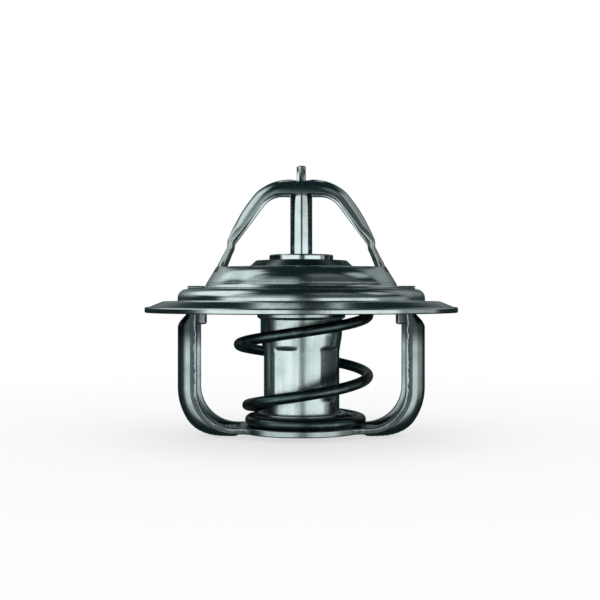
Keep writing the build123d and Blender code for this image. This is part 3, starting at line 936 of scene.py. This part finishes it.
def make_capsule(material):
    """The cup: a stepped outline turned round the axis, with flats pressed into its lower wall.

    A flat is the plane at distance a from the axis, so its radius is a / cos(angle off its middle).
    It fades in and out over a short slope at either end."""
    bottom, top, rim = cup_low[2], cup_high[2], cup_high[0]
    corners = [
        (0, bottom, 0), (CUP_WALL, bottom, CUP_FOOT_CORNER), (CUP_WALL, CUP_WALL_TOP, CUP_NECK_BEND),
        (CUP_NECK, CUP_NECK_FOOT, CUP_NECK_BEND), (CUP_NECK, CUP_RIM_UNDER, CUP_RIM_BEND),
        (rim, CUP_RIM_FOOT, EDGE), (rim, top, CUP_RIM_EDGE), (CUP_MOUTH, top, EDGE),
        (CUP_MOUTH, top - CUP_RECESS, 0), (0, top - CUP_RECESS, 0)]
    profile = finer(outline(corners, closed=False, arc_steps=10), 0.25)
    flat_radius = CUP_WALL - FLAT_DEPTH
    middles = np.radians(FLAT_ANGLE - 90 + np.arange(FLATS) * 360 / FLATS)

    def radius_of(radius, z, angle):
        off = np.min(np.abs((angle[..., None] - middles + np.pi) % (2 * np.pi) - np.pi), -1)
        plane = flat_radius / np.cos(np.clip(off, 0, 1.2))
        depth = np.maximum(radius - plane, 0) * (radius > flat_radius)
        return radius - depth * fade(z, *FLAT_FADE_TOP) * fade(z, *FLAT_FADE_BOTTOM)

    part = turned(profile, 360, closed=False, radius_of=radius_of)
    piece("wax_capsule", "valve", [part], material, ["capsule_cup"])


def paint_nodes():
    """Gives the CAD nodes that stay, all inside the capsule and the guide, their finishes."""
    brass = turned_brass("guide brass")
    black = rubber("inner rubber")
    steel = polished_steel("washer steel", (0.6, 0.63, 0.63, 1), (0.45, 0.48, 0.48, 1), 0.2)
    fill = wax("wax fill")
    finishes = {"guide_body": brass, "piston_wiper": black, "rubber_sleeve": black,
                "backing_washer": steel, "wax_charge": fill}
    for name, material in finishes.items():
        node = frame["nodes"][name]
        node.data.materials.clear()
        node.data.materials.append(material)


def make_camera():
    """A level camera in front of the part, at the distance and height that the photograph gives."""
    data = bpy.data.cameras.new("camera")
    width = IMAGE / PIXELS_PER_MM
    data.lens = data.sensor_width * CAMERA_DISTANCE / width
    data.shift_x = (IMAGE / 2 - AXIS_COLUMN) / IMAGE
    data.shift_y = (HORIZON_ROW - IMAGE / 2) / IMAGE
    data.clip_start = 0.01
    camera = bpy.data.objects.new("camera", data)
    camera.location = (0, -CAMERA_DISTANCE * MM, CAMERA_HEIGHT * MM)
    camera.rotation_euler = (math.pi / 2, 0, 0)
    bpy.context.scene.collection.objects.link(camera)
    bpy.context.scene.camera = camera


def softbox(name, azimuth, elevation):
    """A square lamp that faces the part. Azimuth 0 is at the camera, positive to the right."""
    data = bpy.data.lights.new(name, "AREA")
    data.shape = "RECTANGLE"
    data.size, data.size_y = SOFTBOX_SIDE, SOFTBOX_SIDE
    data.energy = SOFTBOX_LEVEL * math.pi * SOFTBOX_SIDE * SOFTBOX_SIDE
    lamp = bpy.data.objects.new(name, data)
    turn, tip = math.radians(azimuth), math.radians(elevation)
    lamp.location = (SOFTBOX_DISTANCE * math.sin(turn) * math.cos(tip),
                     -SOFTBOX_DISTANCE * math.cos(turn) * math.cos(tip), SOFTBOX_DISTANCE * math.sin(tip))
    lamp.rotation_euler = (math.pi / 2 - tip, 0, turn)
    lamp.visible_camera = False
    lamp.visible_glossy = False
    bpy.context.scene.collection.objects.link(lamp)


def add_node(tree, kind, values, links=(), output=0, **settings):
    """Adds a node to a stage's tree, with its settings, socket values and links, and returns one of
    its outputs."""
    made = tree.nodes.new(kind)
    for key, value in settings.items():
        setattr(made, key, value)
    for key, value in values.items():
        made.inputs[key].default_value = value
    for key, socket in links:
        tree.links.new(socket, made.inputs[key])
    return made.outputs[output]


def send_out(tree, kind, shader):
    """Links a shader to a new output node."""
    tree.links.new(shader, tree.nodes.new(kind).inputs[0])


def seen_ray(tree):
    """1 for a ray from the camera, or one that a shiny or clear surface sends on, else 0."""
    path = tree.nodes.new("ShaderNodeLightPath").outputs
    sent_on = add_node(tree, "ShaderNodeMath", {},
                       [(0, path["Is Glossy Ray"]), (1, path["Is Transmission Ray"])], operation="MAXIMUM")
    return add_node(tree, "ShaderNodeMath", {}, [(0, path["Is Camera Ray"]), (1, sent_on)],
                    operation="MAXIMUM")


def make_world():
    """A white backdrop all round, and a weaker even fill for everything that the lamps miss."""
    world = bpy.data.worlds.new("world")
    bpy.context.scene.world = world
    world.use_nodes = True
    tree = world.node_tree
    tree.nodes.clear()
    fill = add_node(tree, "ShaderNodeBackground", {"Color": (FILL, FILL, FILL, 1)})
    white = add_node(tree, "ShaderNodeBackground", {"Color": (1, 1, 1, 1)})
    mix = add_node(tree, "ShaderNodeMixShader", {}, [(0, seen_ray(tree)), (1, fill), (2, white)])
    send_out(tree, "ShaderNodeOutputWorld", mix)


def stage_piece(name, points, faces):
    """A stage object with an empty material, and that material."""
    mesh = bpy.data.meshes.new(name)
    mesh.from_pydata(points, [], faces)
    item = bpy.data.objects.new(name, mesh)
    bpy.context.scene.collection.objects.link(item)
    material = bpy.data.materials.new(name)
    material.use_nodes = True
    material.node_tree.nodes.clear()
    mesh.materials.append(material)
    return item, material


def make_floor():
    """A wide pale floor under the part. It keeps the part's shadow and turns to plain white
    further out, where it meets the backdrop."""
    z = float(cad_low[2]) - FLOOR_GAP
    corners = [(x, y, z) for x, y in ((-FLOOR_REACH, -FLOOR_REACH), (FLOOR_REACH, -FLOOR_REACH),
                                      (FLOOR_REACH, FLOOR_REACH), (-FLOOR_REACH, FLOOR_REACH))]
    floor, material = stage_piece("floor", corners, [(0, 1, 2, 3)])
    tree = material.node_tree
    place = tree.nodes.new("ShaderNodeTexCoord").outputs["Object"]
    away = add_node(tree, "ShaderNodeVectorMath", {}, [(0, place)], "Value", operation="LENGTH")
    values = {"From Min": FLOOR_FADE[0], "From Max": FLOOR_FADE[1], "To Min": FLOOR_NEAR, "To Max": 1.0}
    white = add_node(tree, "ShaderNodeMapRange", values, [("Value", away)],
                     interpolation_type="SMOOTHSTEP", clamp=True)
    share = add_node(tree, "ShaderNodeMath", {}, [(0, white), (1, seen_ray(tree))], operation="MULTIPLY")
    cloth = add_node(tree, "ShaderNodeBsdfDiffuse", {"Color": (0.85, 0.85, 0.85, 1)})
    glow = add_node(tree, "ShaderNodeEmission", {"Color": (1, 1, 1, 1)})
    mix = add_node(tree, "ShaderNodeMixShader", {}, [(0, share), (1, cloth), (2, glow)])
    send_out(tree, "ShaderNodeOutputMaterial", mix)
    floor.visible_glossy = False


class Window:
    """Soft-edged windows of azimuth and elevation in the reflection tent, in degrees."""

    def __init__(self, tree):
        self.tree = tree
        place = tree.nodes.new("ShaderNodeTexCoord").outputs["Object"]
        split = tree.nodes.new("ShaderNodeSeparateXYZ")
        tree.links.new(place, split.inputs[0])
        x, y, z = split.outputs
        to_degrees = 180 / math.pi
        back = self.math("MULTIPLY", y, -1.0)
        self.azimuth = self.math("MULTIPLY", self.math("ARCTAN2", x, back), to_degrees)
        self.side = self.math("ABSOLUTE", self.azimuth)
        height = self.math("MULTIPLY", z, 1 / TENT)
        self.elevation = self.math("MULTIPLY", self.math("ARCSINE", height), to_degrees)

    def math(self, operation, *values):
        made = self.tree.nodes.new("ShaderNodeMath")
        made.operation = operation
        for socket, value in zip(made.inputs, values):
            if isinstance(value, float):
                socket.default_value = value
            else:
                self.tree.links.new(value, socket)
        return made.outputs[0]

    def step(self, angle, edge, soft):
        """0 below the edge and 1 above it, eased over twice the softness."""
        values = {"From Min": edge - soft, "From Max": edge + soft}
        return add_node(self.tree, "ShaderNodeMapRange", values, [("Value", angle)],
                        interpolation_type="SMOOTHSTEP", clamp=True)

    def span(self, angle, low, high, soft):
        return self.math("SUBTRACT", self.step(angle, low, soft), self.step(angle, high, soft))

    def card(self, angle, low, high, bottom, top, light, soft):
        """A card's light: a span of azimuth times a span of elevation times its level."""
        across = self.span(angle, low, high, soft)
        upward = self.span(self.elevation, bottom, top, soft)
        return self.math("MULTIPLY", self.math("MULTIPLY", across, upward), light)


def make_tent():
    """The studio as the metal mirrors it, unseen by the camera: dark cloth all round with low
    bright cards at the front and dimmer ones at the sides and behind.

    The tent is a sphere, point R (sin p cos a, sin p sin a, cos p), with a pinhole at either pole."""
    around, pinhole = 120, 0.004
    polar = np.linspace(pinhole, np.pi - pinhole, 60)
    turn = np.linspace(0, 2 * np.pi, around, endpoint=False)
    grid = TENT * np.stack([np.sin(polar)[:, None] * np.cos(turn), np.sin(polar)[:, None] * np.sin(turn),
                            np.repeat(np.cos(polar)[:, None], around, 1)], -1)
    points, faces = shell(grid, loop_rows=False)
    tent, material = stage_piece("tent", points.tolist(), faces)
    tree = material.node_tree
    window = Window(tree)
    cards = [window.card(window.azimuth, *card) for card in CARDS]
    cards += [window.card(window.side, *card) for card in CARD_PAIRS]
    light = cards[0]
    for card in cards[1:]:
        light = window.math("ADD", light, card)
    color = add_node(tree, "ShaderNodeMix", {COLOR_A: TENT_CLOTH, COLOR_B: TENT_CARD}, [(0, light)],
                     COLOR_RESULT, data_type="RGBA")
    glow = add_node(tree, "ShaderNodeEmission", {}, [("Color", color)])
    send_out(tree, "ShaderNodeOutputMaterial", glow)
    material.cycles.emission_sampling = "NONE"
    tent.visible_camera = False
    tent.visible_shadow = False
    tent.visible_diffuse = False
    tent.visible_transmission = False


def make_studio():
    """World, floor, reflection tent and three softboxes."""
    make_world()
    make_floor()
    make_tent()
    softbox("left softbox", -43, 35)
    softbox("right softbox", 46, 35)
    softbox("top softbox", 180, 75)


def main():
    bright = polished_steel("polished pin steel", (0.62, 0.67, 0.67, 1), (0.5, 0.56, 0.56, 1), 0.05)
    make_flange_bridge(flange_steel("pressed sheet steel"))
    make_lower_frame(bracket_steel("bracket sheet steel"))
    make_spring(black_wire("blackened wire"))
    make_piston(bright)
    make_valve_disc(plate_steel("valve plate steel"))
    make_hub(bright)
    make_seal(rubber("seal rubber"))
    make_capsule(capsule_metal("drawn capsule metal"))
    paint_nodes()
    make_camera()
    make_studio()
    bpy.context.scene.view_settings.view_transform = "Standard"


main()
